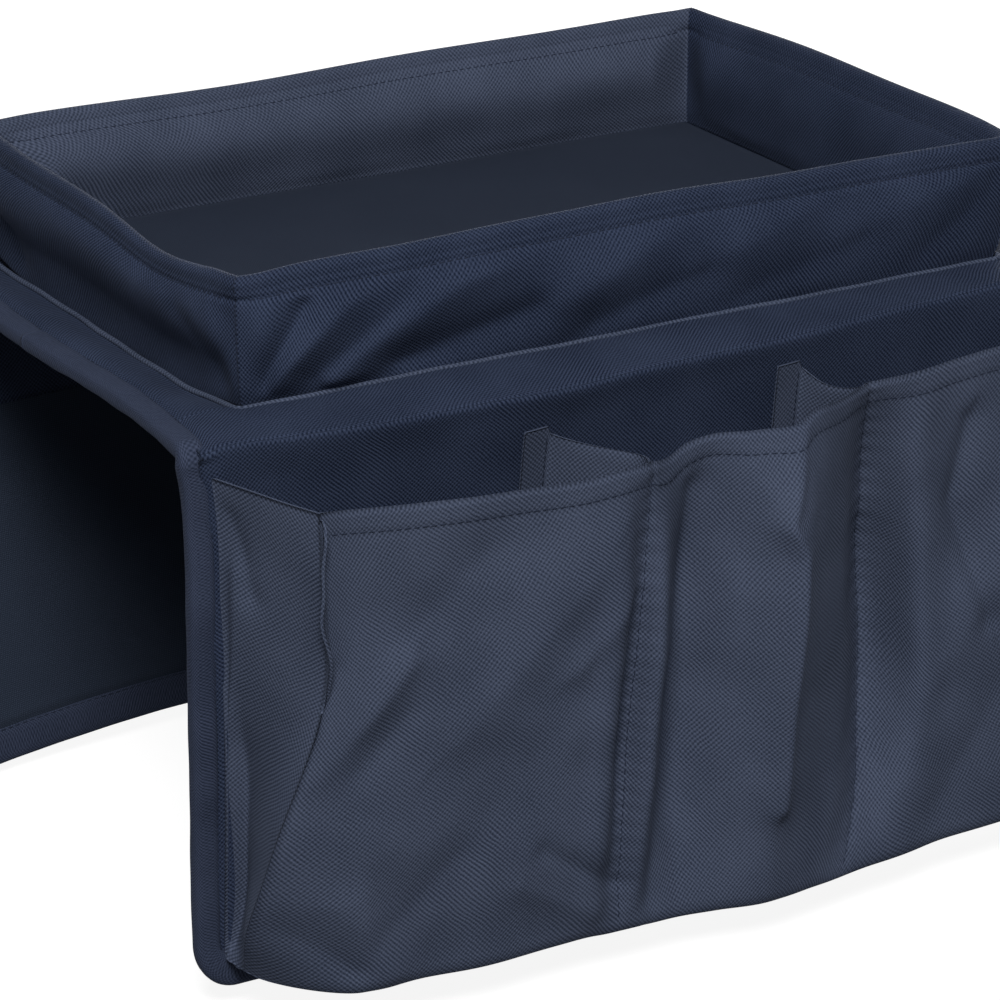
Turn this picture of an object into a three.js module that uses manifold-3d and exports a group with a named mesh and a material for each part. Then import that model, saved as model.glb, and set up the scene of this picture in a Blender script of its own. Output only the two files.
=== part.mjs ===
// Armrest organizer: a stiffened cloth tray on a saddle strip, with a pocketed flap hanging on each side.
// Units are millimetres, +Z is up, +X runs along the arm, and the front flap hangs on the -Y side.
// The origin is the centre of the saddle's underside, where it lies on the arm.
import * as THREE from "three";
import Module from "manifold-3d";

const { Manifold, Mesh: SolidMesh } = await boot();

// Cloth, stiffeners and the gap left between neighbouring pieces
const CLOTH = 1.0;
const BOARD = 3.0;
const PADDING = 3.0;
const GAP = 0.3;

// Tray, outside sizes
const TRAY_LENGTH = 320;
const TRAY_WIDTH = 212;
const WALL_HEIGHT = 47;
const WALL_THICKNESS = 6;
const WALL_CROWN = 1.2;
const FLOOR_BOARD = 2.0;
const FLOOR_CLEARANCE = 1.8;

// Saddle strip and its folds
const LEDGE_WIDTH = 22;
const LEDGE_END = 31;
const FOLD_CLEARANCE = 0.6;
const FOLD_SIDES = 20;
const BINDING_WIDTH = 10;

// Flaps: the lean is how far a flap hangs in under the fold, with the pockets' weight on its outside
const FLAP_HEIGHT = 210;
const FLAP_LEAN = 4;
const HEM_HEIGHT = 15;
const FACING_HEIGHT = 64;
const FACING_START = 7;

// Pocket row
const POCKET_DEPTH = 42;
const POCKET_DROP = 10;
const POCKET_LIFT = 13;
const MOUTH_SAG = 6;
const GUSSET_SKEW = 16;
const DIVIDER_SKEW = 18;
const MIDDLE_WIDTH = 100;
const MIDDLE_SHIFT = 16;
const SEAM_SLANT = 11;
const BELLY = 4;
const HEM_FLARE = 9;
const RIGHT_TUCK = 11;
const CORNER_DRAW = 11;
const CORNER_REACH = 30;
const PANEL_ROWS = 9;
const PANEL_STEPS = 15;

// Levels and reaches that follow from the sizes above
const baseThickness = 2 * CLOTH + BOARD + 2 * GAP;
const foldRadius = baseThickness / 2;
const foldReach = TRAY_WIDTH / 2 + LEDGE_WIDTH;
const saddleHalf = TRAY_LENGTH / 2 + LEDGE_END;
const clothEnd = saddleHalf - BINDING_WIDTH - GAP;
const coreEnd = saddleHalf - CLOTH - GAP;
const flapFace = PADDING / 2 + GAP + CLOTH;
const flapStart = -foldRadius - GAP;
const pocketFloor = -FLAP_HEIGHT + POCKET_LIFT;

// Front seams of the pocket row from left to right, and the feet of the same walls on the flap
const rowFoot = clothEnd - CLOTH;
const rowHalf = rowFoot - GUSSET_SKEW;
const seamLeft = MIDDLE_SHIFT - MIDDLE_WIDTH / 2;
const seamRight = MIDDLE_SHIFT + MIDDLE_WIDTH / 2;
const pocketWalls = [
  { name: "pocket_left_gusset", seam: -rowHalf, foot: -rowFoot },
  { name: "pocket_divider_left", seam: seamLeft, foot: seamLeft - DIVIDER_SKEW },
  { name: "pocket_divider_right", seam: seamRight, foot: seamRight - DIVIDER_SKEW },
  { name: "pocket_right_gusset", seam: rowHalf, foot: rowFoot },
];

// Standing folds of the pocket cloth. Each runs from its place at the mouth to its place at the hem,
// and stands out (or sinks in, when negative) by the given height at either end.
const pocketFolds = [
  { mouth: seamLeft, hem: seamLeft, spread: 7, mouthHeight: 3, hemHeight: 1 },
  { mouth: seamLeft + 16, hem: seamLeft + 12, spread: 9, mouthHeight: -9, hemHeight: -4 },
  { mouth: seamRight - 28, hem: seamRight - 24, spread: 12, mouthHeight: 4, hemHeight: 3 },
  { mouth: seamRight, hem: seamRight, spread: 9, mouthHeight: -5, hemHeight: -3 },
  { mouth: seamRight + 50, hem: seamRight + 56, spread: 14, mouthHeight: -2, hemHeight: 2 },
  { mouth: -rowHalf + 34, hem: -rowHalf + 66, spread: 18, mouthHeight: -1, hemHeight: 4 },
];

const COLOURS = {
  cloth: 0x3a4150,
  lining: 0x11151e,
  floorCloth: 0x252c3a,
  tape: 0x2f3544,
  board: 0xa08a68,
  padding: 0xc9c9c4,
};

async function boot() {
  const wasm = await Module();
  wasm.setup();
  return wasm;
}

function part(name, geometry, colour, roughness = 0.9) {
  const material = new THREE.MeshStandardMaterial({ color: colour, roughness, metalness: 0 });
  const mesh = new THREE.Mesh(geometry, material);
  mesh.name = name;
  return mesh;
}

// A flat sheet or board between two opposite corners
function slab(low, high) {
  const size = high.map((value, axis) => value - low[axis]);
  const geometry = new THREE.BoxGeometry(...size);
  geometry.translate(low[0] + size[0] / 2, low[1] + size[1] / 2, low[2] + size[2] / 2);
  return geometry;
}

// A profile drawn in Y and Z, run along X about the middle
function runAlongX(shape, length, curveSegments = 8) {
  const geometry = new THREE.ExtrudeGeometry(shape, { depth: length, bevelEnabled: false, curveSegments });
  const axes = new THREE.Matrix4().makeBasis(
    new THREE.Vector3(0, 1, 0),
    new THREE.Vector3(0, 0, 1),
    new THREE.Vector3(1, 0, 0),
  );
  geometry.translate(0, 0, -length / 2);
  geometry.applyMatrix4(axes);
  return geometry;
}

// Turn a piece so that its X runs along one direction and its Y along another
function orient(mesh, run, lips) {
  const axisX = new THREE.Vector3(...run);
  const axisY = new THREE.Vector3(...lips);
  const axisZ = new THREE.Vector3().crossVectors(axisX, axisY);
  mesh.quaternion.setFromRotationMatrix(new THREE.Matrix4().makeBasis(axisX, axisY, axisZ));
  return mesh;
}

// Tape folded over an edge: it runs along X, its web is at Y = 0 and its two lips reach to Y = reach
function foldedTape(length, reach, core) {
  const inner = core / 2 + GAP;
  const outer = inner + CLOTH;
  const shape = new THREE.Shape();
  shape.moveTo(0, -outer);
  shape.lineTo(reach, -outer);
  shape.lineTo(reach, -inner);
  shape.lineTo(CLOTH, -inner);
  shape.lineTo(CLOTH, inner);
  shape.lineTo(reach, inner);
  shape.lineTo(reach, outer);
  shape.lineTo(0, outer);
  shape.closePath();
  return runAlongX(shape, length);
}

// A closed skin between two matching grids of points
function gridShell(columns, rows, facePoint, backPoint) {
  const points = [];
  const index = [];
  const across = columns + 1;
  const layer = across * (rows + 1);
  for (const place of [facePoint, backPoint]) {
    for (let row = 0; row <= rows; row += 1) {
      for (let column = 0; column <= columns; column += 1) {
        points.push(...place(column, row));
      }
    }
  }
  const at = (side, column, row) => side * layer + row * across + column;
  const quad = (a, b, c, d) => index.push(a, b, c, a, c, d);
  for (let row = 0; row < rows; row += 1) {
    for (let column = 0; column < columns; column += 1) {
      quad(at(0, column, row), at(0, column, row + 1), at(0, column + 1, row + 1), at(0, column + 1, row));
      quad(at(1, column, row), at(1, column + 1, row), at(1, column + 1, row + 1), at(1, column, row + 1));
    }
    quad(at(0, 0, row), at(1, 0, row), at(1, 0, row + 1), at(0, 0, row + 1));
    quad(at(0, columns, row), at(0, columns, row + 1), at(1, columns, row + 1), at(1, columns, row));
  }
  for (let column = 0; column < columns; column += 1) {
    quad(at(0, column, 0), at(0, column + 1, 0), at(1, column + 1, 0), at(1, column, 0));
    quad(at(0, column, rows), at(1, column, rows), at(1, column + 1, rows), at(0, column + 1, rows));
  }
  const geometry = new THREE.BufferGeometry();
  geometry.setAttribute("position", new THREE.Float32BufferAttribute(points, 3));
  geometry.setIndex(index);
  geometry.computeVertexNormals();
  return geometry;
}

function toSolid(geometry) {
  const position = geometry.attributes.position;
  const plain = geometry.index ? geometry.toNonIndexed() : geometry;
  const vertProperties = new Float32Array(plain.attributes.position.array);
  const triVerts = new Uint32Array(vertProperties.length / 3).map((_, corner) => corner);
  const mesh = new SolidMesh({ numProp: position.itemSize, vertProperties, triVerts });
  mesh.merge();
  return new Manifold(mesh);
}

function fromSolid(solid) {
  const mesh = solid.getMesh();
  const geometry = new THREE.BufferGeometry();
  geometry.setAttribute("position", new THREE.Float32BufferAttribute(mesh.vertProperties, mesh.numProp));
  geometry.setIndex(Array.from(mesh.triVerts));
  geometry.computeVertexNormals();
  return geometry;
}

// Saddle strip: two cloths on a board, tape over both ends and a rolled fold along both sides
function addSaddle(root) {
  const side = foldReach - foldRadius - FOLD_CLEARANCE;
  const boardLow = CLOTH + GAP;
  const coverLow = boardLow + BOARD + GAP;
  const lining = slab([-clothEnd, -side, 0], [clothEnd, side, CLOTH]);
  const board = slab([-coreEnd, -side, boardLow], [coreEnd, side, boardLow + BOARD]);
  const cover = slab([-clothEnd, -side, coverLow], [clothEnd, side, baseThickness]);
  root.add(part("base_lining", lining, COLOURS.lining));
  root.add(part("base_board", board, COLOURS.board));
  root.add(part("base_cover", cover, COLOURS.cloth));

  for (const [name, end] of [["base_left_binding", -1], ["base_right_binding", 1]]) {
    const tape = part(name, foldedTape(2 * side, BINDING_WIDTH, BOARD), COLOURS.tape);
    tape.position.set(end * saddleHalf, 0, baseThickness / 2);
    root.add(orient(tape, [0, end, 0], [-end, 0, 0]));
  }

  for (const [name, face] of [["front_fold_cloth", -1], ["rear_fold_cloth", 1]]) {
    const roll = new THREE.CylinderGeometry(foldRadius, foldRadius, 2 * saddleHalf, FOLD_SIDES);
    roll.rotateZ(Math.PI / 2);
    roll.translate(0, face * foldReach, baseThickness / 2);
    root.add(part(name, roll, COLOURS.cloth));
  }
}

// Cloth sleeve of one wall, outside toward -Y: swelling sides, a rounded rim and a slot for the board
function wallSleeve(length) {
  const half = WALL_THICKNESS / 2;
  const slot = half - CLOTH;
  const shoulder = WALL_HEIGHT - half;
  const shape = new THREE.Shape();
  shape.moveTo(half, 0);
  shape.quadraticCurveTo(half + 2 * WALL_CROWN, shoulder / 2, half, shoulder);
  shape.absarc(0, shoulder, half, 0, Math.PI);
  shape.quadraticCurveTo(-half - 2 * WALL_CROWN, shoulder / 2, -half, 0);
  shape.lineTo(-slot, 0);
  shape.lineTo(-slot, shoulder);
  shape.lineTo(slot, shoulder);
  shape.lineTo(slot, 0);
  shape.closePath();
  const geometry = runAlongX(shape, length);

  // Mitre both ends so that the sleeves meet at the corners with a gap
  const position = geometry.attributes.position;
  const middleEnd = length / 2 - half - GAP;
  for (let vertex = 0; vertex < position.count; vertex += 1) {
    const end = Math.sign(position.getX(vertex));
    position.setX(vertex, end * (middleEnd - position.getY(vertex)));
  }
  geometry.computeVertexNormals();
  return geometry;
}

function addTray(root) {
  const seat = baseThickness + GAP;
  const half = WALL_THICKNESS / 2;
  const walls = [
    { name: "front", turn: 0, length: TRAY_LENGTH, reach: TRAY_WIDTH / 2 },
    { name: "right", turn: Math.PI / 2, length: TRAY_WIDTH, reach: TRAY_LENGTH / 2 },
    { name: "rear", turn: Math.PI, length: TRAY_LENGTH, reach: TRAY_WIDTH / 2 },
    { name: "left", turn: -Math.PI / 2, length: TRAY_WIDTH, reach: TRAY_LENGTH / 2 },
  ];
  const boardHalf = half - CLOTH - GAP;
  const boardTop = WALL_HEIGHT - half - GAP;
  for (const { name, turn, length, reach } of walls) {
    const wall = new THREE.Group();
    wall.rotation.z = turn;
    const boardEnd = length / 2 - WALL_THICKNESS - GAP;
    const board = slab([-boardEnd, -boardHalf, 0], [boardEnd, boardHalf, boardTop]);
    wall.add(part(`${name}_wall_cover`, wallSleeve(length), COLOURS.cloth));
    wall.add(part(`${name}_wall_board`, board, COLOURS.board));
    for (const piece of wall.children) {
      piece.position.set(0, half - reach, seat);
    }
    root.add(wall);
  }

  // Floor panel: a board with its cloth turned down over all four edges
  const floorX = TRAY_LENGTH / 2 - WALL_THICKNESS - FLOOR_CLEARANCE;
  const floorY = TRAY_WIDTH / 2 - WALL_THICKNESS - FLOOR_CLEARANCE;
  const skirt = CLOTH + GAP;
  const floorTop = seat + FLOOR_BOARD + skirt;
  const outside = toSolid(slab([-floorX, -floorY, seat], [floorX, floorY, floorTop]));
  const inside = toSolid(slab(
    [CLOTH - floorX, CLOTH - floorY, seat - CLOTH],
    [floorX - CLOTH, floorY - CLOTH, floorTop - CLOTH],
  ));
  const boardX = floorX - skirt;
  const boardY = floorY - skirt;
  const board = slab([-boardX, -boardY, seat], [boardX, boardY, seat + FLOOR_BOARD]);
  root.add(part("tray_floor_cover", fromSolid(outside.subtract(inside)), COLOURS.floorCloth));
  root.add(part("tray_floor_board", board, COLOURS.board));
}

// Height of the pocket mouth, lowest at the middle of the row
function mouthLevel(x) {
  const inward = 1 - (x / rowHalf) ** 2;
  return -POCKET_DROP - MOUTH_SAG * Math.max(inward, 0);
}

// How far the pocket cloth stands off the flap, at x along the row and t from mouth (0) to hem (1)
function pocketDepth(x, t) {
  const seams = pocketWalls.map((wall) => wall.seam);
  const bay = x < seamLeft ? 0 : x < seamRight ? 1 : 2;
  const share = (x - seams[bay]) / (seams[bay + 1] - seams[bay]);
  const swell = Math.max(Math.sin(Math.PI * share), 0);
  let depth = POCKET_DEPTH + HEM_FLARE * t + BELLY * swell * (0.4 + 0.6 * t);
  depth -= RIGHT_TUCK * (1 - t) * THREE.MathUtils.smoothstep(x, seamRight - 40, seamRight);
  for (const fold of pocketFolds) {
    const middle = fold.mouth + (fold.hem - fold.mouth) * t;
    const height = fold.mouthHeight + (fold.hemHeight - fold.mouthHeight) * t;
    depth += height * Math.exp(-(((x - middle) / fold.spread) ** 2));
  }
  const fromEnd = (rowHalf - Math.abs(x)) / CORNER_REACH;
  depth -= CORNER_DRAW * t * t * Math.exp(-fromEnd * fromEnd);
  return Math.max(depth, 4 * CLOTH);
}

// Stations along the pocket row: every seam is one, and they stand closer near the seams
function panelStations() {
  const overlap = CLOTH;
  const stops = [-rowHalf - overlap, seamLeft, seamRight, rowHalf + overlap];
  const stations = [stops[0]];
  for (let bay = 0; bay < 3; bay += 1) {
    for (let step = 1; step <= PANEL_STEPS; step += 1) {
      const even = step / PANEL_STEPS;
      const eased = even - 0.1 * Math.sin(2 * Math.PI * even);
      stations.push(stops[bay] + (stops[bay + 1] - stops[bay]) * eased);
    }
  }
  return stations;
}

// The seams of the row run a little to the left on their way down, and its two ends run straight
function slantedX(x, t) {
  const inward = 1 - (x / rowHalf) ** 2;
  return x - SEAM_SLANT * t * Math.max(inward, 0);
}

// A point of the pocket front, given its inset from the outside of the cloth
function pocketPoint(x, t, inset) {
  const top = mouthLevel(x);
  const z = top + (pocketFloor - top) * t;
  return [slantedX(x, t), inset - flapFace - pocketDepth(x, t), z];
}

function addPocketRow(flap, side) {
  const stations = panelStations();
  const panel = gridShell(
    stations.length - 1,
    PANEL_ROWS,
    (column, row) => pocketPoint(stations[column], row / PANEL_ROWS, 0),
    (column, row) => pocketPoint(stations[column], row / PANEL_ROWS, CLOTH),
  );
  flap.add(part(`${side}_pocket_panel`, panel, COLOURS.cloth));

  // Gussets and dividers stand on the flap and follow the inner face of the panel
  const floorTop = CLOTH + 2 * GAP;
  for (const wall of pocketWalls) {
    const wallPoint = (column, row, sideways) => {
      const t = row / PANEL_ROWS;
      const top = mouthLevel(wall.seam);
      const z = Math.max(top + (pocketFloor - top) * t, pocketFloor + floorTop);
      const nearest = Math.min(...[-CLOTH, 0, CLOTH].map((step) => facetDepth(stations, wall.seam + step, t)));
      const depth = column === 0 ? GAP : nearest - CLOTH - 2 * GAP;
      const x = column === 0 ? wall.foot : slantedX(wall.seam, t);
      return [x + sideways, -flapFace - depth, z];
    };
    const sheet = gridShell(
      1,
      PANEL_ROWS,
      (column, row) => wallPoint(column, row, -CLOTH / 2),
      (column, row) => wallPoint(column, row, CLOTH / 2),
    );
    flap.add(part(`${side}_${wall.name}`, sheet, COLOURS.cloth));
  }

  // The bottom cloth fills the row from the flap to the panel
  const shape = new THREE.Shape();
  shape.moveTo(-rowFoot, -GAP);
  for (const station of stations.slice(1, -1)) {
    const nearest = Math.min(pocketDepth(station, 1), pocketDepth(station, 1 - 1 / PANEL_ROWS));
    shape.lineTo(slantedX(station, 1), -(nearest - CLOTH - 2 * GAP));
  }
  shape.lineTo(rowFoot, -GAP);
  shape.closePath();
  const bottom = new THREE.ExtrudeGeometry(shape, { depth: CLOTH, bevelEnabled: false });
  bottom.translate(0, -flapFace, pocketFloor + GAP);
  flap.add(part(`${side}_pocket_bottom`, bottom, COLOURS.cloth));
}

// Depth of the faceted pocket front between two stations
function facetDepth(stations, x, t) {
  const inside = Math.min(Math.max(x, stations[0]), stations[stations.length - 1]);
  const right = Math.max(stations.findIndex((station) => station >= inside), 1);
  const [low, high] = [stations[right - 1], stations[right]];
  const share = (inside - low) / (high - low);
  return pocketDepth(low, t) * (1 - share) + pocketDepth(high, t) * share;
}

// One flap about its own fold line: it hangs along -Z, with its outside toward -Y
function buildFlap(side) {
  const flap = new THREE.Group();
  const half = PADDING / 2;
  const inner = half + GAP;
  const hemTop = -FLAP_HEIGHT + HEM_HEIGHT;
  const clothFoot = hemTop + GAP;
  const coreFoot = -FLAP_HEIGHT + CLOTH + GAP;
  const core = slab([-coreEnd, -half, coreFoot], [coreEnd, half, flapStart]);
  const cover = slab([-clothEnd, -flapFace, clothFoot], [clothEnd, -inner, flapStart]);
  const facing = slab([-clothEnd, inner, -FACING_HEIGHT], [clothEnd, flapFace, -FACING_START]);
  const lining = slab([-clothEnd, inner, clothFoot], [clothEnd, flapFace, -FACING_HEIGHT - GAP]);
  flap.add(part(`${side}_flap_padding`, core, COLOURS.padding));
  flap.add(part(`${side}_flap_cover`, cover, COLOURS.cloth));
  flap.add(part(`${side}_flap_facing`, facing, COLOURS.cloth));
  flap.add(part(`${side}_flap_lining`, lining, COLOURS.lining));

  const tapeLength = FLAP_HEIGHT - FACING_START;
  for (const [name, end] of [["left", -1], ["right", 1]]) {
    const tape = part(`${side}_flap_${name}_binding`, foldedTape(tapeLength, BINDING_WIDTH, PADDING), COLOURS.tape);
    tape.position.set(end * saddleHalf, 0, -FACING_START - tapeLength / 2);
    flap.add(orient(tape, [0, 0, 1], [-end, 0, 0]));
  }
  const hem = part(`${side}_flap_hem`, foldedTape(2 * clothEnd, HEM_HEIGHT, PADDING), COLOURS.tape);
  hem.position.set(0, 0, -FLAP_HEIGHT);
  flap.add(orient(hem, [1, 0, 0], [0, 0, 1]));

  addPocketRow(flap, side);
  flap.rotation.x = THREE.MathUtils.degToRad(FLAP_LEAN);
  return flap;
}

function buildOrganizer() {
  const root = new THREE.Group();
  addSaddle(root);
  addTray(root);
  for (const [side, turn] of [["front", 0], ["rear", Math.PI]]) {
    const hanger = new THREE.Group();
    const flap = buildFlap(side);
    flap.position.set(0, -foldReach, baseThickness / 2);
    hanger.rotation.z = turn;
    hanger.add(flap);
    root.add(hanger);
  }
  return root;
}

export default buildOrganizer();
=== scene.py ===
import math

import bpy
import numpy as np
from mathutils import Matrix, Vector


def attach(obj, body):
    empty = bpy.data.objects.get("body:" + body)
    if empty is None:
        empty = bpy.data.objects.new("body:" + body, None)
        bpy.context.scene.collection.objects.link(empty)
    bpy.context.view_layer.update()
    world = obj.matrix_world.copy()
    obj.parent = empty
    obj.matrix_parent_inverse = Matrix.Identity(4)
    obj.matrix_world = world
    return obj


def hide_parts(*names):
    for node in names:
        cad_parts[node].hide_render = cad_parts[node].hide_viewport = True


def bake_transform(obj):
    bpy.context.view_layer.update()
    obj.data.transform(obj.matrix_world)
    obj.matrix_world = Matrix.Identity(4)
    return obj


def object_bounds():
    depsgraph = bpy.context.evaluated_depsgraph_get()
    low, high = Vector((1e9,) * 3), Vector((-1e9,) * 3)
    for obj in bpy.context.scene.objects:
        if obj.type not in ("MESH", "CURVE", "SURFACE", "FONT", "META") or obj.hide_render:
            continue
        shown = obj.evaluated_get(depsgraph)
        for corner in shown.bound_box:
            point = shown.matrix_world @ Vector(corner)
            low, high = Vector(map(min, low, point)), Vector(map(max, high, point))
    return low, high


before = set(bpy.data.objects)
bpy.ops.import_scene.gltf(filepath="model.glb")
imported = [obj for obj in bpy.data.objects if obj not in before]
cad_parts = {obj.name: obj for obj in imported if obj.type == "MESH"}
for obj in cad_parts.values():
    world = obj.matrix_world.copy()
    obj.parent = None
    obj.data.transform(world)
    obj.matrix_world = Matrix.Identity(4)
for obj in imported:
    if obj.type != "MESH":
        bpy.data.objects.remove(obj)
cad_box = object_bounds()

# Sizes in millimetres
MM = 0.001
SEAT = 5.9
WALL_HEIGHT = 47.0
WALL_THICKNESS = 6.0
LONG, SHORT = 160.0, 106.0
SADDLE_TOP = 5.6
LEDGE_START = 104.0
FOLD_REACH = 128.0
FOLD_HEIGHT = 2.8
FOLD_RADIUS = 1.3
LEAN = math.radians(4.0)
FLAP_FACE = 2.8
FLAP_HEIGHT = 210.0
FACING_END = 66.0
ROW_HALF = 161.7
SEAM_LEFT = -34.0
SEAM_RIGHT = 66.0
POCKET_FLOOR = 197.0
STITCH_LINE = 39.0
TAPE_HALF = 4.9
HEM_HALF = 7.4
TAPE_RISE = 3.3
TAPE_COVER = 1.5
TAPE_PRESS = 1.5
TAPE_FROM = 7.5
TAPE_FULL = 5.2
CLOTH = 0.9
CLOTH_HALF = 186.0
CLOTH_FOOT = FLAP_HEIGHT - 7.0
FOLD_BULGE = 4.6
FOLD_DROOP = 3.2
BULGE_FADE = 20.0
BELLY_TOP = 42.0
STITCH_PITCH = 3.3
GATHER_PITCH = 2 * STITCH_PITCH
THREAD_RISE = 2.6
TURN = {"front": 0, "rear": 180}


# Small tools for shapes

def smooth(low, high, value):
    share = np.clip((value - low) / (high - low), 0, 1)
    return share * share * (3 - 2 * share)


def bell(value, middle, spread):
    return np.exp(-(((value - middle) / spread) ** 2))


def curve(knots, values, at):
    """A smooth line through the values at the knots; each value may be a row."""
    knots, values, at = (np.asarray(v, float) for v in (knots, values, at))
    slopes = np.gradient(values, knots, axis=0)
    spot = np.clip(np.searchsorted(knots, at) - 1, 0, len(knots) - 2)
    shape = at.shape + (1,) * (values.ndim - 1)
    width = (knots[spot + 1] - knots[spot]).reshape(shape)
    share = np.clip((at - knots[spot]).reshape(shape) / width, 0, 1)
    start = (1 + 2 * share) * (1 - share) ** 2 * values[spot]
    start = start + share * (1 - share) ** 2 * width * slopes[spot]
    end = share**2 * (3 - 2 * share) * values[spot + 1]
    return start + end + share**2 * (share - 1) * width * slopes[spot + 1]


def crease(x, z, path, height, left, right=None):
    """One soft fold along a path: its height, and its width on each side of the path."""
    near = np.full(np.broadcast(x, z).shape, np.inf)
    for (ax, az), (bx, bz) in zip(path, path[1:]):
        dx, dz = bx - ax, bz - az
        share = np.clip(((x - ax) * dx + (z - az) * dz) / (dx * dx + dz * dz), 0, 1)
        px, pz = x - ax - share * dx, z - az - share * dz
        width = np.where(dx * pz - dz * px > 0, left, right or left)
        near = np.minimum(near, np.hypot(px, pz) / width)
    return height * np.exp(-(near**1.6))


def ripple(a, b, seed, scale, size):
    """Slow, seeded unevenness over a surface."""
    rng = np.random.default_rng(seed)
    total = np.zeros(np.broadcast(a, b).shape)
    for _ in range(7):
        angle, turn, pace = rng.uniform(0, 2 * math.pi), rng.uniform(0, 2 * math.pi), rng.uniform(0.6, 1.6)
        total += np.sin(2 * math.pi * pace * (a * math.cos(angle) + b * math.sin(angle)) / scale + turn)
    return total * size / 2.6


def grain(a, b, degrees):
    """Cloth coordinates with the ribs of the weave at this angle, seen with a to the right and b up."""
    turn = math.radians(degrees)
    a, b = np.broadcast_arrays(a, b)
    return np.stack([a * math.cos(turn) + b * math.sin(turn), b * math.cos(turn) - a * math.sin(turn)], -1)


def arc(points, axis):
    """Length along one direction of a grid, measured from its middle."""
    steps = np.linalg.norm(np.diff(points, axis=axis), axis=-1)
    length = np.concatenate([np.zeros_like(np.take(steps, [0], axis)), np.cumsum(steps, axis)], axis)
    return length - np.take(length, [length.shape[axis] // 2], axis)


def lengths(points):
    """Length along a line of points, measured from its start."""
    return np.concatenate([[0], np.cumsum(np.linalg.norm(np.diff(points, axis=0), axis=1))])


def sampled(at, knots, points):
    """Points of a line at other places along it."""
    return np.stack([np.interp(at, knots, points[:, k]) for k in range(3)], -1)


def grid(x, y, z):
    return np.stack(np.broadcast_arrays(x, y, z), -1)


def spaced(*spans):
    """Even steps over spans that follow each other, each with its start, end and count."""
    parts = [np.linspace(*span) for span in spans]
    return np.concatenate([parts[0]] + [part[1:] for part in parts[1:]])


def unit(vectors):
    return vectors / np.maximum(np.linalg.norm(vectors, axis=-1, keepdims=True), 1e-9)


def facing(points):
    return unit(np.cross(np.gradient(points, axis=0), np.gradient(points, axis=1)))


def turned(points, degrees):
    turn = math.radians(degrees)
    x, y, z = np.moveaxis(points, -1, 0)
    return grid(x * math.cos(turn) - y * math.sin(turn), x * math.sin(turn) + y * math.cos(turn), z)


# Meshes

def mesh_piece(name, points, faces, corner_uv, material):
    """A piece from points and a list of faces; corner_uv follows the corners of the faces in turn."""
    mesh = bpy.data.meshes.new(name)
    mesh.from_pydata((points.reshape(-1, 3) * MM).tolist(), [], faces)
    layer = mesh.uv_layers.new(name="cloth")
    layer.data.foreach_set("uv", (corner_uv.reshape(-1, 2) * MM).ravel().astype(np.float32))
    mesh.polygons.foreach_set("use_smooth", np.ones(len(faces), bool))
    mesh.materials.append(material)
    mesh.validate()
    mesh.update()
    piece = bpy.data.objects.new(name, mesh)
    bpy.context.scene.collection.objects.link(piece)
    return piece


def grid_faces(index, uv):
    faces = np.stack([index[:-1, :-1], index[1:, :-1], index[1:, 1:], index[:-1, 1:]], -1)
    corners = np.stack([uv[:-1, :-1], uv[1:, :-1], uv[1:, 1:], uv[:-1, 1:]], -2)
    return faces.reshape(-1, 4), corners.reshape(-1, 4, 2)


def sheet_piece(name, points, uv, material, thick=CLOTH, back=None):
    """A closed cloth from the grid of its outer face."""
    if back is None:
        back = points - facing(points) * np.broadcast_to(thick, points.shape[:2])[..., None]
    rows, columns = points.shape[:2]
    front_index = np.arange(rows * columns).reshape(rows, columns)
    back_index = front_index + rows * columns
    faces, corners = grid_faces(front_index, uv)
    back_faces, back_corners = grid_faces(back_index, uv)
    made = [(faces, corners), (back_faces[:, ::-1], back_corners[:, ::-1])]
    for cut in (np.s_[0, :], np.s_[-1, ::-1], np.s_[::-1, 0], np.s_[:, -1]):
        rim = np.stack([front_index[cut], back_index[cut]], 1)
        made.append(grid_faces(rim[::-1], np.stack([uv[cut], uv[cut] + 1.0], 1)[::-1]))
    faces, corners = (np.concatenate(part) for part in zip(*made))
    both = np.concatenate([points.reshape(-1, 3), back.reshape(-1, 3)])
    return mesh_piece(name, both, faces.tolist(), corners, material)


def tube_piece(name, rings, uv, material, second=None, second_from=0):
    """A closed tube through rings; uv has one column more, and a second cloth may start at a column."""
    count, around = rings.shape[:2]
    index = np.arange(count * around).reshape(count, around)
    faces, corners = grid_faces(np.concatenate([index, index[:, :1]], 1), uv)
    middles = np.stack([rings[0].mean(0), rings[-1].mean(0)])
    caps, cap_uv = [], []
    for side in range(around):
        after = (side + 1) % around
        for ring, middle, pair in ((0, 0, [after, side]), (-1, 1, [side, after])):
            caps.append(index[ring, pair].tolist() + [count * around + middle])
            cap_uv.append(uv[ring, pair + [side]])
    points = np.concatenate([rings.reshape(-1, 3), middles])
    every = np.concatenate([corners.reshape(-1, 2), *cap_uv])
    piece = mesh_piece(name, points, faces.tolist() + caps, every, material)
    if second:
        piece.data.materials.append(second)
        columns = np.tile(np.arange(around), count - 1) >= second_from
        slots = np.concatenate([columns, np.zeros(len(caps))]).astype(np.int32)
        piece.data.polygons.foreach_set("material_index", slots)
    return piece


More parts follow.
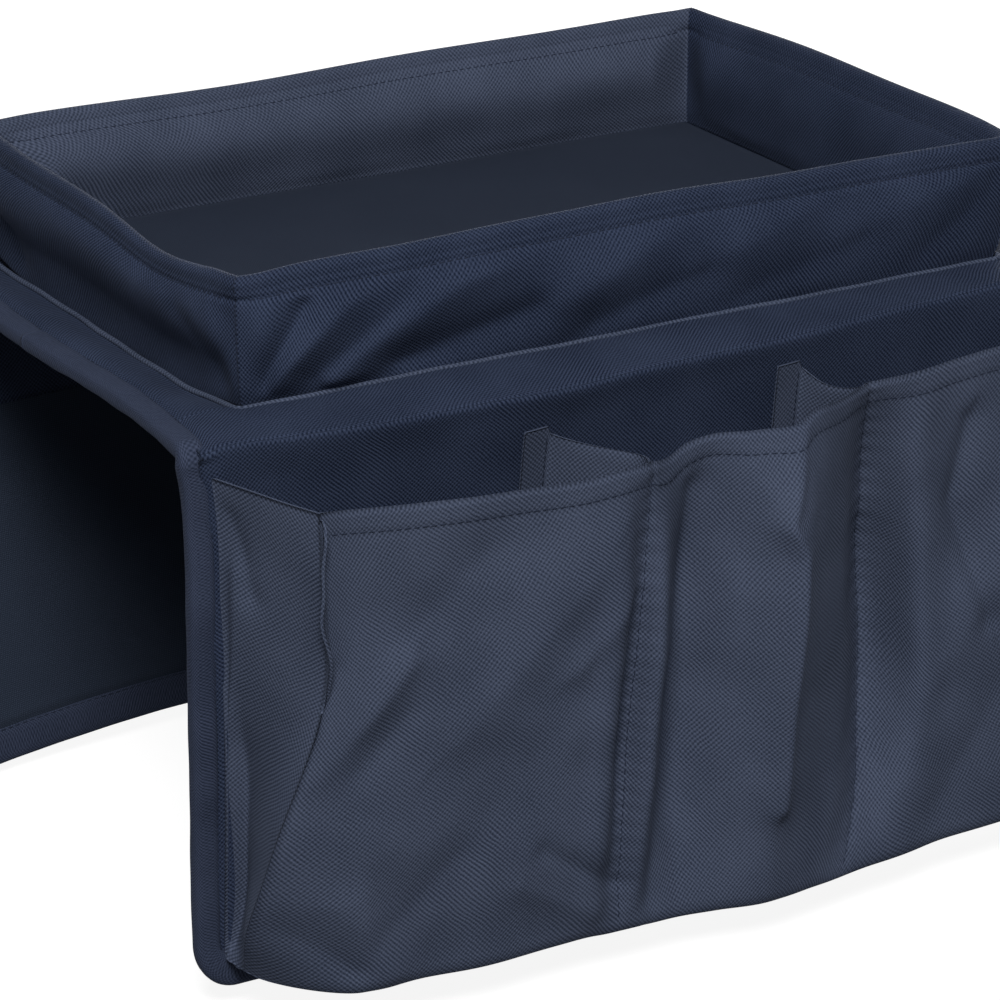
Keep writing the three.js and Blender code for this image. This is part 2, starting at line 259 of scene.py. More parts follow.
def rows_of_stitches(name, lines, length=2.3, radius=0.22):
    """Thread that shows along sewn lines; each line is its points and the way that its surface faces."""
    sides, rings = 6, ((0.0, 0.35), (0.2, 1.0), (0.8, 1.0), (1.0, 0.35))
    around = np.linspace(0, 2 * math.pi, sides, endpoint=False)
    points, faces = [], []
    for line, normals in lines:
        run = lengths(line)
        for start in np.arange(STITCH_PITCH * 0.3, run[-1] - length, STITCH_PITCH):
            at = start + np.array([share for share, _ in rings]) * length
            middle = sampled(at, run, line)
            normal = unit(sampled(start, run, normals))
            forward = unit(middle[-1] - middle[0])
            across = unit(np.cross(normal, forward))
            first = len(points) * sides
            for spot, (share, size) in zip(middle, rings):
                lift = normal * radius * (0.55 - 1.1 * abs(share - 0.5))
                ring = np.cos(around)[:, None] * across + np.sin(around)[:, None] * normal * 0.8
                points.append(spot + lift + ring * radius * size)
            for ring in range(len(rings) - 1):
                for side in range(sides):
                    a, b = first + ring * sides + side, first + ring * sides + (side + 1) % sides
                    faces.append([a, b, b + sides, a + sides])
    corners = np.zeros((len(faces), 4, 2))
    corners[:, 2:, 0] = 1.0
    corners[:, 1:3, 1] = 1.0
    return mesh_piece(name, np.concatenate(points), faces, corners, THREAD)


# Materials

class Nodes:
    def __init__(self, name, owner=None):
        self.material = owner or bpy.data.materials.new(name)
        self.material.use_nodes = True
        self.tree = self.material.node_tree
        self.tree.nodes.clear()

    def add(self, kind, values=None, **settings):
        node = self.tree.nodes.new(kind)
        for key, value in settings.items():
            setattr(node, key, value)
        for socket, value in (values or {}).items():
            if isinstance(value, bpy.types.NodeSocket):
                self.tree.links.new(value, node.inputs[socket])
            else:
                node.inputs[socket].default_value = value
        return node

    def math(self, operation, first, second=0.0):
        return self.add("ShaderNodeMath", {0: first, 1: second}, operation=operation).outputs[0]

    def wave(self, value):
        swing = self.math("COSINE", self.math("MULTIPLY", value, 2 * math.pi))
        return self.add("ShaderNodeMath", {0: swing, 1: 0.5, 2: 0.5}, operation="MULTIPLY_ADD").outputs[0]

    def threads(self, pitch, scale, size, crossing="ADD"):
        """Cloth coordinates, and the waves of the two sets of threads that cross there and drift a little."""
        uv = self.add("ShaderNodeUVMap", uv_map="cloth").outputs[0]
        parts = self.add("ShaderNodeSeparateXYZ", {0: uv}).outputs
        drift = self.math("MULTIPLY", self.noise(uv, scale), size)
        first = self.math("ADD", self.math("DIVIDE", parts[1], pitch * MM), drift)
        second = self.math(crossing, self.math("DIVIDE", parts[0], pitch * MM), drift)
        return uv, self.wave(first), self.wave(second)

    def seen(self):
        """1 where the camera looks, directly or by a mirror or glass, and 0 for light on the object."""
        path = self.add("ShaderNodeLightPath")
        seen = self.math("MAXIMUM", path.outputs["Is Camera Ray"], path.outputs["Is Glossy Ray"])
        return self.math("MAXIMUM", seen, path.outputs["Is Transmission Ray"])

    def noise(self, vector, scale, detail=2.0):
        return self.add("ShaderNodeTexNoise", {"Vector": vector, "Scale": scale, "Detail": detail}).outputs[0]

    def spread(self, value, low, high, start=0.0, end=1.0):
        values = {"Value": value, "From Min": start, "From Max": end, "To Min": low, "To Max": high}
        return self.add("ShaderNodeMapRange", values).outputs[0]

    def mottled(self, value, noise, weight):
        """The value with weighted noise added, which is counted from its middle."""
        return self.math("ADD", value, self.math("MULTIPLY", self.math("SUBTRACT", noise, 0.5), weight))

    def blend(self, share, dark, light):
        values = {0: share, 6: (*dark, 1.0), 7: (*light, 1.0)}
        return self.add("ShaderNodeMix", values, data_type="RGBA").outputs[2]

    def finish(self, colour, height, depth, roughness, rough_spread, sheen, specular=0.05):
        bump = self.add("ShaderNodeBump", {"Height": height, "Strength": 1.0, "Distance": depth * MM})
        rough = self.spread(height, roughness + rough_spread, roughness - rough_spread)
        shader = self.add("ShaderNodeBsdfPrincipled", {
            "Base Color": colour, "Roughness": rough, "Normal": bump.outputs[0],
            "Specular IOR Level": specular, "Sheen Weight": sheen, "Sheen Roughness": 0.45,
            "Sheen Tint": (0.55, 0.65, 0.9, 1.0)})
        self.add("ShaderNodeOutputMaterial", {"Surface": shader.outputs[0]})
        return self.material


def twill(name, dark, light, pitch=1.2, depth=0.18, sheen=0.02):
    """A balanced weave seen on the bias: two sets of diagonal ribs take turns to stand out."""
    nodes = Nodes(name)
    uv, first, second = nodes.threads(pitch, 70.0, 1.2, "SUBTRACT")
    lean = nodes.spread(nodes.noise(uv, 26.0), 0.12, 0.62, 0.34, 0.66)
    height = nodes.math("MULTIPLY", first, nodes.math("SUBTRACT", 1.0, lean))
    height = nodes.math("ADD", height, nodes.math("MULTIPLY", second, lean))
    fibre = nodes.noise(uv, 1500.0)
    mottle = nodes.noise(uv, 30.0, 5.0)
    tone = nodes.mottled(nodes.mottled(height, fibre, 1.1), mottle, 0.7)
    colour = nodes.blend(tone, dark, light)
    relief = nodes.math("ADD", height, nodes.math("MULTIPLY", fibre, 0.5))
    return nodes.finish(colour, relief, depth, 0.86, 0.07, sheen)


def plain_weave(name, dark, light, pitch=0.8, depth=0.1, sheen=0.03):
    """A fine plain weave with slubs."""
    nodes = Nodes(name)
    uv, weft, warp = nodes.threads(pitch, 90.0, 0.8)
    height = nodes.math("MULTIPLY", warp, weft)
    fibre = nodes.noise(uv, 2400.0, 1.0)
    mottle = nodes.noise(uv, 18.0, 5.0)
    tone = nodes.mottled(nodes.math("MULTIPLY", height, 0.8), fibre, 0.6)
    tone = nodes.mottled(tone, mottle, 0.5)
    colour = nodes.blend(tone, dark, light)
    return nodes.finish(colour, height, depth, 0.9, 0.05, sheen)


def fibre_material(name, dark, light, scale, depth, roughness=0.9):
    """Felted or pulped fibres, in the space of the piece."""
    nodes = Nodes(name)
    place = nodes.add("ShaderNodeTexCoord").outputs["Object"]
    fine = nodes.noise(place, scale, 6.0)
    broad = nodes.noise(place, scale * 0.06, 3.0)
    tone = nodes.math("ADD", nodes.math("MULTIPLY", fine, 0.7), nodes.math("MULTIPLY", broad, 0.3))
    colour = nodes.blend(tone, dark, light)
    return nodes.finish(colour, fine, depth, roughness, 0.05, 0.0)


BODY_TWILL = twill("body_twill", (0.0045, 0.0075, 0.0175), (0.034, 0.0455, 0.081))
POCKET_TWILL = twill("pocket_twill", (0.019, 0.025, 0.042), (0.068, 0.083, 0.128), 1.3, 0.17)
BINDING_TWILL = twill("binding_twill", (0.012, 0.0165, 0.031), (0.04, 0.05, 0.084), 0.9, 0.12)
LINING = plain_weave("lining_weave", (0.016, 0.022, 0.036), (0.046, 0.06, 0.092))
FLOOR_CLOTH = plain_weave("floor_weave", (0.0115, 0.0157, 0.027), (0.0285, 0.0365, 0.057), 0.7)
# The thread is darker than the cloth it sews: painted shade of the stitch holes along the seams.
THREAD = fibre_material("sewing_thread_painted_shade", (0.01, 0.013, 0.024), (0.024, 0.031, 0.052), 3000.0, 0.05)
CARDBOARD = fibre_material("pulp_board", (0.22, 0.15, 0.08), (0.42, 0.31, 0.18), 900.0, 0.06)
FELT = fibre_material("felt_pad", (0.42, 0.42, 0.4), (0.66, 0.66, 0.63), 1400.0, 0.12)


def place(piece, body, nodes=(), slot="twill", cut=None, held=None, fill=None, trims=()):
    if body:
        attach(piece, body)
    if nodes:
        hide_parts(*nodes)
    return piece


# Tray walls: padded sleeves with a rolled rim, a topstitched groove and sewn corners

def wall_profile():
    """Outward offset and height round a wall, from its outer foot over the rim to its inner foot."""
    rise = np.concatenate([np.linspace(0, 36, 22), np.linspace(37, 43.2, 14)])
    roll = np.radians(np.linspace(-4, 184, 13))
    outer = np.stack([np.zeros_like(rise), rise], -1)
    rim = np.stack([-2.9 + 2.85 * np.cos(roll), 43.8 + 3.2 * np.sin(roll)], -1)
    inner = np.stack([np.full_like(rise, -WALL_THICKNESS), rise], -1)[::-1]
    return np.concatenate([outer, rim, inner]), len(outer), len(rim)


def wall_piece(side, half, reach, degrees, rib, folds, corners, bows, sag, crown, sink, seed, lining):
    """One wall, built along x as the front one and turned to its side; gives back its sewn lines.

    bows bend its foot and rim outward. sag is the dip of its rim, with its place and spread. crown swells its
    outer face at each end and its inner face. sink lowers its outer foot.
    """
    profile, outer_count, rim_count = wall_profile()
    offset, height = profile.T
    is_outer = np.arange(len(profile)) < outer_count
    is_inner = np.arange(len(profile)) >= outer_count + rim_count
    axis = 0 if degrees % 180 else 1
    lean = [CORNERS[corner][axis] for corner in corners]
    stretch = [CORNERS[corner][1 - axis] for corner in corners]
    share = np.linspace(-1, 1, 190)[:, None]
    share = share * (1.16 - 0.16 * share**2)
    along = share * half
    high = np.broadcast_to(height, (len(share), len(height)))
    end = half * (1 - np.abs(share))
    middle = 1 - share**4
    toward = (share + 1) / 2
    body = smooth(0, 7, high) * smooth(39.5, 33, high) * smooth(0, 12, end)
    raised = np.clip(high / BELLY_TOP, 0, 1)
    belly, tuck = (np.sin(math.pi * raised**power) * smooth(0, 16, end) for power in (1.25, 1.6))
    foot = 1.3 * bell(high, 0, 4.5)
    groove = bell(high, STITCH_LINE, 1.3) * (0.8 + 0.2 * np.sin(2 * math.pi * along / STITCH_PITCH))
    pucker = np.sin(2 * math.pi * along / GATHER_PITCH + 3 * np.sin(along / 23))
    pucker = pucker * np.exp(-np.abs(high - STITCH_LINE) / 3.5)
    waves = 1.5 * sum(crease(along, high, *fold) for fold in folds) + ripple(along, high * 1.5, seed, 80, 0.6)
    swell = crown[0] + (crown[1] - crown[0]) * toward
    out = offset + np.where(is_outer, swell * belly - foot + waves * body - groove + 0.12 * pucker, 0)
    slack = ripple(along, high, seed + 5, 80, 0.6) * body
    out = out - np.where(is_inner, crown[2] * tuck - foot + slack - 0.8 * groove + 0.1 * pucker, 0)
    out = out - np.where(is_outer, 0.6, 0.3) * bell(end, 0, 3.0)
    tall = np.clip(high / WALL_HEIGHT, 0, 1)
    wide = share * (half + out + np.where(share < 0, *stretch) * tall)
    out = out + (lean[0] + (lean[1] - lean[0]) * toward) * tall
    out = out + middle * (bows[0] * (1 - tall) + bows[1] * tall**1.5)
    rim_wave = ripple(along, 0 * high, seed + 9, 110, 0.5) * smooth(0, 25, end)
    dip = sag[0] * bell(along, sag[1], sag[2]) * smooth(0, 25, end)
    rise = high + tall**1.5 * (rim_wave - dip + 0.4 * bell(end, 0, 5))
    rise = rise - np.where(is_outer, (1.0 + sink * smooth(0, 40, end)) * smooth(14, 0, high), 0)
    points = grid(wide, -(reach + out), SEAT + rise)
    girth = lengths(np.vstack([profile, profile[:1]]))
    uv = grain(along, girth, rib)
    rings = turned(points, degrees)
    # From the middle of the rim over the inner face the wall takes the lining cloth. On the front and rear
    # walls the lighter pocket cloth there is painted light, and on the side walls the darker body cloth is
    # painted shade, though it is one and the same cloth.
    wall = tube_piece(f"{side}_wall_sleeve", rings, uv, BODY_TWILL, lining, outer_count + rim_count // 2)
    place(wall, "tray", (f"{side}_wall_cover", f"{side}_wall_board"), fill=0.55)
    ways = facing(points)
    between = end[:, 0] > 4
    lines = []
    for face in (is_outer, is_inner):
        column = np.argmin(np.where(face, np.abs(height - STITCH_LINE), np.inf))
        lines.append((turned(points[between, column], degrees), turned(ways[between, column], degrees)))
    corner = points[0, 4:outer_count - 4]
    lines.append((turned(corner, degrees), turned(np.tile([-0.7, -0.7, 0], (len(corner), 1)), degrees)))
    return lines


FRONT_WAVES = (
    ([(-133, 33), (-150, 8)], -2.6, 5),
    ([(-110, 37), (-150, 5)], 2.4, 6),
    ([(-92, 30), (-130, 7)], -2.2, 6),
    ([(-58, 39), (-100, 21), (-124, 6)], 2.8, 8),
    ([(-42, 17), (-98, 6)], -2.6, 8),
    ([(6, 33), (-34, 17)], 1.6, 9),
    ([(26, 18), (-18, 7)], -1.8, 8),
    ([(66, 35), (20, 19)], 1.2, 9),
    ([(94, 19), (48, 8)], -1.2, 9),
    ([(130, 34), (84, 21)], 1.0, 9),
    ([(150, 30), (124, 10)], -0.8, 8),
)
SIDE_WAVES = (
    ([(-90, 13), (90, 11)], -2.0, 11),
    ([(-70, 31), (80, 33)], 1.2, 12),
    ([(70, 30), (98, 8)], -1.2, 7),
    ([(-98, 30), (-70, 8)], -1.0, 8),
)
REAR_WAVES = (
    ([(-120, 34), (-148, 8)], 2.0, 7),
    ([(-70, 30), (-110, 12)], -2.0, 8),
    ([(-20, 34), (-58, 16)], 2.0, 9),
    ([(50, 26), (10, 10)], -2.0, 9),
    ([(95, 34), (60, 18)], 2.0, 9),
    ([(142, 30), (110, 10)], -1.8, 8),
)
CORNERS = {"near": (2.6, 2.6), "right": (7.0, 1.8), "far": (2.6, 3.6), "left": (1.6, 1.6)}
LEFT_SINK = 4.3
# The last value of each wall is the cloth of its inner face: lighter pocket cloth on the front and rear walls
# as painted light, darker body cloth on the side walls as painted shade.
WALLS = (
    ("front", LONG, SHORT, 0, -45, FRONT_WAVES, ("near", "right"), (1.6, -3.6), (-1.0, 0, 90),
     (5.0, 2.4, 3.0), 0, 3, POCKET_TWILL),
    ("right", SHORT, LONG, 90, 45, SIDE_WAVES, ("right", "far"), (0.5, 4.2), (-0.8, 0, 80),
     (3.6, 3.6, 4.5), 0, 11, BODY_TWILL),
    ("rear", LONG, SHORT, 180, -45, REAR_WAVES, ("far", "left"), (0.5, 1.5), (0.6, 0, 90),
     (4.0, 4.0, 8.0), 0, 17, POCKET_TWILL),
    ("left", SHORT, LONG, 270, 45, SIDE_WAVES, ("left", "near"), (1.4, 3.2), (4.6, 52, 34),
     (4.4, 4.0, 3.0), LEFT_SINK, 23, BODY_TWILL),
)
stitch_lines = []
for wall_values in WALLS:
    stitch_lines += wall_piece(*wall_values)


def left_sink(x, y):
    """The left ledge dips toward the foot of its wall."""
    return -LEFT_SINK * bell(x, -161, 10) * smooth(-112, -66, y) * smooth(118, 92, y)


def piping():
    """The narrow sewn edge round the foot of the walls."""
    inset, radius, thick = 2.2, 3.3, (1.15, 1.05)
    corners = []
    for x, y, start in ((1, -1, -90), (1, 1, 0), (-1, 1, 90), (-1, -1, 180)):
        turn = np.radians(np.linspace(start, start + 90, 9))
        middle = np.array([x * (LONG - inset), y * (SHORT - inset)])
        corners.append(middle + radius * np.stack([np.cos(turn), np.sin(turn)], -1))
    path = []
    for spot in range(4):
        nearby, after = corners[spot], corners[(spot + 1) % 4]
        path.append(nearby)
        steps = np.linspace(0, 1, 90)[1:-1, None]
        path.append(nearby[-1] * (1 - steps) + after[0] * steps)
    path = np.concatenate(path + [corners[0][:1]])
    way = unit(np.gradient(path, axis=0))
    side = np.stack([way[:, 1], -way[:, 0]], -1)
    length = lengths(path)
    path = path + side * (0.35 * np.sin(length / 17) + 0.25 * np.sin(length / 5.3))[:, None]
    around = np.linspace(0, 2 * math.pi, 9)[:-1]
    ring = np.stack([np.cos(around), np.sin(around)], -1) * thick
    flat = path[:, None] + side[:, None] * ring[:, :1]
    height = SADDLE_TOP + 0.85 + left_sink(path[:, :1], path[:, 1:]) + ring[:, 1]
    rings = grid(flat[..., 0], flat[..., 1], height)
    uv = grain(length[:, None], np.linspace(0, 5.5, 9), 50)
    # The piping is the wall's folded seam. Its lighter pocket cloth is a painted highlight along it, added to
    # the real light that its round shape catches.
    place(tube_piece("tray_foot_piping", rings[:, ::-1], uv, POCKET_TWILL), "tray", slot="binding")


piping()


def floor_panel():
    half_x, half_y, top, underside = 152.0, 98.0, 9.15, 5.95
    x = np.linspace(-half_x, half_x, 110)[:, None]
    y = np.linspace(-half_y, half_y, 76)
    edge = np.minimum(half_x - np.abs(x), half_y - np.abs(y))
    points = grid(x, y, top - 0.9 * (1 - smooth(0, 4, edge)) + ripple(x, y, 31, 120, 0.15))
    back = points.copy()
    back[..., 2] = underside
    panel = sheet_piece("tray_floor_panel", points, grain(x, y, 0), FLOOR_CLOTH, back=back)
    place(panel, "tray", ("tray_floor_cover",), "floor_cloth", fill=0.3)


floor_panel()


# Saddle: ledge cloth, under cloth, rolled folds and bound ends

def ledge_height(x, y):
    front = np.sin(math.pi * np.clip((np.abs(y) - LEDGE_START) / 24.0, 0, 1))
    end = np.sin(math.pi * np.clip((np.abs(x) - 159) / 22.0, 0, 1))
    swell = np.maximum(front, end) * (0.35 + ripple(x, y, 41, 60, 0.25))
    tuck = TAPE_PRESS * smooth(-TAPE_FROM, -TAPE_FULL, np.abs(x) - end_middle(y))
    return SADDLE_TOP + swell - tuck + left_sink(x, y)


def fold_share(x):
    """How far the fold droops forward along its length, as a share of the most."""
    places = (-195, -183, -117, -78, -38, 26, 95, 145, 195)
    return curve(places, (0.05, 0.17, 0.83, 1.0, 0.95, 0.67, 0.25, -0.15, -0.1), x)


def edge_middle(down):
    """Middle of the side tape: the flap hangs a little narrower at its foot than at its fold."""
    places = (0, 5, 12, 30, 65, 101, 133, 210)
    return curve(places, (190.1, 189.8, 188.4, 186.8, 185.5, 184.6, 183.6, 182.0), down)


def end_middle(y):
    """Middle of the tape on the saddle's ends, which are drawn in between the folds."""
    return curve((0, 20, 54, 91, 118, 130), (187.4, 187.1, 186.3, 186.7, 188.5, 189.9), np.abs(y))


def under_tape(x, down):
    """How far the flap's cloths give way where the tape covers their sides and foot."""
    side = smooth(TAPE_FROM, TAPE_FULL, edge_middle(down) - np.abs(x))
    return TAPE_PRESS * np.maximum(side, smooth(FLAP_HEIGHT - 17.0, FLAP_HEIGHT - 13.5, down))


def saddle():
    board_x, board_y, under_y = 181.0, 121.0, 123.5
    share = np.linspace(-1, 1, 170)[:, None]
    y = np.linspace(-LEDGE_START, LEDGE_START, 110)
    x = share * (end_middle(y) - TAPE_COVER)
    top = sheet_piece("saddle_top_cloth", grid(x, y, ledge_height(x, y)), grain(x, y, 45), BODY_TWILL)
    place(top, "tray", ("base_cover",), cut=(372, 208), held="laid")
    y = np.linspace(-board_y, board_y, 110)
    x = share * board_x
    droop = FOLD_DROOP * np.clip((np.abs(y) - LEDGE_START) / 30.0, 0, 1) ** 2
    height = np.maximum(ledge_height(x, y) - droop - 1.4, 0.5)
    points = grid(x, y, height)
    back = points.copy()
    back[..., 2] = np.minimum(1.0, height - 0.3)
    board = sheet_piece("saddle_board", points, grain(x, y, 0), CARDBOARD, back=back)
    place(board, "tray", ("base_board",), "stiffener")
    y = np.linspace(-under_y, under_y, 60)
    x = share * (end_middle(y) - TAPE_COVER)
    under = grid(x, y, 0.05 + ripple(x, y, 43, 70, 0.2)).transpose(1, 0, 2)
    lining = sheet_piece("saddle_under_cloth", under, grain(x, y, 0).transpose(1, 0, 2), LINING)
    place(lining, "tray", ("base_lining",), "lining", cut=(372, 247), held="laid")


saddle()


def oval():
    """Outline of the tape's section, between a box and an ellipse."""
    turn = np.linspace(0, 2 * math.pi, 24, endpoint=False)
    ring = np.stack([np.cos(turn), np.sin(turn)], -1)
    return np.sign(ring) * np.abs(ring) ** 0.6


def hang(points, side="front"):
    """Turns x, out and down on a flap into the shared frame."""
    x, out, down = np.moveaxis(points, -1, 0)
    y = -FOLD_REACH - out * math.cos(LEAN) + down * math.sin(LEAN)
    z = FOLD_HEIGHT - out * math.sin(LEAN) - down * math.cos(LEAN)
    return settle(grid(x, y, z), side)


def hang_way(ways):
    """Turns directions on a flap into the shared frame, as on the front one."""
    return hang(ways) - hang(np.zeros(3))


def settle(points, side):
    """Brings a front flap's points to their side. The rear flap hangs lower and further in to its left."""
    if side == "front":
        return points
    points = turned(points, TURN[side])
    far = np.clip((-70.0 - points[..., 0]) / 90.0, 0, 1.1) ** 1.6
    low = np.clip((FOLD_HEIGHT - points[..., 2]) / FLAP_HEIGHT, 0, 1)
    return points - grid(0, 7.0 * far * low, 4.0 * far * low)


def bend_across_fold(piece):
    """Bakes the piece's placement into its mesh; it keeps the shape it was built with."""
    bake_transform(piece)


def tape_path():
    """Left half of the edge tape: its middle, the way across it, the way that it faces and its half width."""
    run = np.linspace(0.0, FOLD_REACH - 4.0, 60)[:-1]
    saddle_part = grid(-end_middle(run), -run, FOLD_HEIGHT + 0.8)
    angles = np.linspace(0, math.pi / 2 + LEAN, 18)
    spin = np.stack([-np.sin(angles), np.cos(angles)], -1)
    knee = np.array([-FOLD_REACH + 3.6, FOLD_HEIGHT - 3.6]) + 3.6 * spin
    ease = smooth(0, 1, np.linspace(0, 1, len(angles)))
    fold_x = -end_middle(FOLD_REACH - 4.0) * (1 - ease) - edge_middle(4.0) * ease
    fold_part = np.column_stack([fold_x, knee + [0, 0.8] * (1 - ease)[:, None]])
    radius = 12.0
    low = FLAP_HEIGHT - HEM_HALF
    drop = np.linspace(5.5, low - radius, 76)
    side_part = hang(grid(-edge_middle(drop), 0, drop))
    turn = np.radians(np.linspace(0, 90, 18))[1:]
    corner_x = -edge_middle(low - radius) + radius
    corner = grid(corner_x - radius * np.cos(turn), 0, low - radius + radius * np.sin(turn))
    base = np.linspace(corner_x, 0, 64)[1:]
    hem = grid(base, 0, low)
    path = np.concatenate([saddle_part, fold_part, side_part, hang(corner), hang(hem)])
    out = hang_way(np.array([0, 1.0, 0]))
    fall = hang_way(np.array([0, 0, 1.0]))
    left = np.array([-1.0, 0, 0])
    swing = left * np.cos(turn)[:, None] + fall * np.sin(turn)[:, None]
    early = len(run) + len(angles) + len(drop)
    across = np.concatenate([np.tile(left, (early, 1)), swing, np.tile(fall, (len(base), 1))])
    bent = np.column_stack([np.zeros(len(angles)), spin])
    late = len(drop) + len(turn) + len(base)
    normal = np.concatenate([np.tile([0, 0, 1.0], (len(run), 1)), bent, np.tile(out, (late, 1))])
    widen = smooth(0, 1, np.linspace(0, 1, len(turn)))
    corner_half = TAPE_HALF + (HEM_HALF - TAPE_HALF) * widen
    half = np.concatenate([np.full(early, TAPE_HALF), corner_half, np.full(len(base), HEM_HALF)])
    return path, across, normal, half, len(run), len(run) + len(angles)


def edge_tape(side):
    """One tape binds the saddle's ends, the sides of the flap and its lower edge."""
    path, across, normal, half, saddle_count, flap_from = tape_path()
    flip = np.array([-1.0, 1.0, 1.0])
    path, across = (np.concatenate([part, part[-2::-1] * flip]) for part in (path, across))
    normal, half = (np.concatenate([part, part[-2::-1]]) for part in (normal, half))
    length = lengths(path)
    puff = TAPE_RISE * (1 + 0.06 * np.sin(length / 9.0) + 0.05 * np.sin(length / 3.7 + 1))
    sway = ripple(length, 0 * length, 61, 120, 0.35) * smooth(0, 30, length)
    sway = sway * smooth(length[-1], length[-1] - 30, length)
    middle = path + normal * sway[:, None]
    ring = oval()
    wide = across[:, None] * (ring[:, :1] * half[:, None, None])
    tall = normal[:, None] * (ring[:, 1:] * puff[:, None, None])
    uv = grain(length[:, None], np.linspace(0, 27, len(ring) + 1), 45)
    tape = tube_piece(f"{side}_edge_tape", settle(middle[:, None] + wide + tall, side), uv, BINDING_TWILL)
    nodes = [f"{side}_flap_left_binding", f"{side}_flap_right_binding", f"{side}_flap_hem"]
    if side == "front":
        nodes += ["base_left_binding", "base_right_binding"]
    place(tape, None, nodes, "binding", fill=0.5)
    bend_across_fold(tape)
    seam = middle - across * (half - 0.9)[:, None]
    hanging = np.s_[flap_from + 4:len(path) - flap_from - 4]
    degrees = TURN[side]
    lines = []
    for face in (1, -1):
        line = seam[hanging] + normal[hanging] * face * THREAD_RISE
        lines.append((settle(line, side), turned(normal[hanging] * face, degrees)))
    ends = []
    for cut in (np.s_[:saddle_count - 2], np.s_[len(path) - saddle_count + 2:]):
        ends.append((turned(seam[cut] + normal[cut] * THREAD_RISE, degrees), turned(normal[cut], degrees)))
    return lines, ends


def fold_cloths(side):
    """The cloth that runs from the ledge over the fold and down the flap, and the lining inside the fold."""
    degrees = TURN[side]
    seed = 51 if side == "front" else 57
    span = np.linspace(-1, 1, 170)[None, :]
    x = span * CLOTH_HALF
    share = fold_share(x if side == "front" else -x) + ripple(x, 0 * x, seed + 2, 70, 0.06)
    bulge, droop = FOLD_BULGE * share, FOLD_DROOP * share
    ridge = FOLD_REACH + FLAP_FACE + bulge
    step = np.linspace(0, 1, 30)[:, None]
    ledge_y = -(LEDGE_START + (ridge - FOLD_RADIUS - LEDGE_START) * step)
    ledge_x = span * (end_middle(ledge_y) - TAPE_COVER)
    world_x, world_y = (ledge_x, ledge_y) if side == "front" else (-ledge_x, -ledge_y)
    ledge_z = ledge_height(world_x, world_y) - droop * step**2 - 0.25 * step - 0.04
    angles = np.linspace(0, math.pi / 2, 9)[1:, None]
    bend_y = ledge_y[-1:] - FOLD_RADIUS * np.sin(angles)
    bend_z = ledge_z[-1:] - FOLD_RADIUS * (1 - np.cos(angles))
    start = FOLD_HEIGHT - bend_z[-1:]
    fall = spaced((0, 40, 26), (40, CLOTH_FOOT, 46))[1:, None]
    down = start + (fall / fall[-1]) * (CLOTH_FOOT - start)
    out = FLAP_FACE + 0.1 + bulge * np.exp(-fall / BULGE_FADE)
    out = out + ripple(x, fall, seed, 75, 0.4) * smooth(0, 12, fall)
    wide = span * (edge_middle(down) - TAPE_COVER)
    hung = hang(grid(wide, out - under_tape(wide, down), down))
    ledge = grid(ledge_x, ledge_y, ledge_z)
    bend = grid(ledge_x[-1:], bend_y, bend_z)
    upper = np.concatenate([ledge, bend[:4]])
    lower = np.concatenate([bend[3:], hung])
    points = np.concatenate([upper, lower])
    length = arc(points, 0) - arc(points, 0)[:1] + LEDGE_START
    split = len(upper)
    across = np.broadcast_to(x, length.shape)
    upper_uv = grain(across[:split], -length[:split], 45)
    uv = np.concatenate([upper_uv, grain(across[split:], -length[split:], -45)])
    cloth = sheet_piece(f"{side}_saddle_cloth", settle(points, side)[::-1], uv[::-1], BODY_TWILL)
    place(cloth, None, (f"{side}_fold_cloth", f"{side}_flap_cover"), cut=(372, 232), held="hung")
    bend_across_fold(cloth)
    row = split + 5 + int(np.argmin(np.abs(fall[:, 0] - 9.5)))
    normal = hang_way(np.tile([0, 1.0, 0], (x.shape[1], 1)))
    lines = [(settle(points[row, 5:-5], side), turned(normal[5:-5], degrees))]

    # Lining on the inside of the fold
    laid = [(-119.0, 0.0), (-122.0, 0.0), (-124.0, -0.05), (-125.0, -0.4)]
    knots = np.concatenate([laid, hang(grid(0, -2.85, np.array([4.2, 6.0, 9.0, 12.0])))[:, 1:]])
    inner = curve(np.linspace(0, 1, len(knots)), knots, np.linspace(0, 1, 30))
    under = grid(np.linspace(-187.0, 187.0, 60), inner[:, :1], inner[:, 1:])
    cloth_uv = grain(under[..., 0], arc(under, 0), 0)
    lining = sheet_piece(f"{side}_fold_cloth_inner", turned(under, degrees), cloth_uv, LINING)
    place(lining, None, slot="lining", cut=(372, 18), held="folded")
    bend_across_fold(lining)
    return lines


# Flaps and pockets, in x, out and down on the hanging flap

EDGE_TIMES = (0.0, 0.2, 0.33, 0.42, 0.52, 0.64, 0.76, 0.88, 1.0)
EDGE_OUT = (41.0, 42.0, 42.0, 41.5, 40.5, 38.0, 33.0, 25.0, 14.0)
EDGE_X = (163.0, 161.0, 159.5, 161.5, 167.0, 174.0, 178.0, 179.5, 174.5)
PANEL_X = (-161.7, -128, -93, -57, -45, -37, -27, -18, -8, 8, 25, 36, 50, 66, 82, 108, 132, 161.7)
PANEL_T = (0.0, 0.25, 0.5, 0.75, 1.0)
PANEL_OUT = (
    (41, 44, 46, 47, 47, 46, 40, 37, 38, 43, 46, 43.5, 37.5, 31, 31, 29, 28, 40),
    (43, 46, 49, 52, 53, 46, 51, 41, 33, 47, 60, 51, 37, 18, 33, 33, 34, 42),
    (44, 48, 51, 54, 55, 46, 54, 43.5, 34, 49, 63, 54, 38, 15, 35, 39, 42, 43),
    (47, 50, 52, 55, 56, 48, 54, 45.5, 38, 51, 62, 57, 47, 31, 44, 46, 47, 45),
    (48, 50, 52, 53, 53, 54, 54, 54, 54, 57, 61, 61, 60, 59, 56, 52, 50, 48),
)
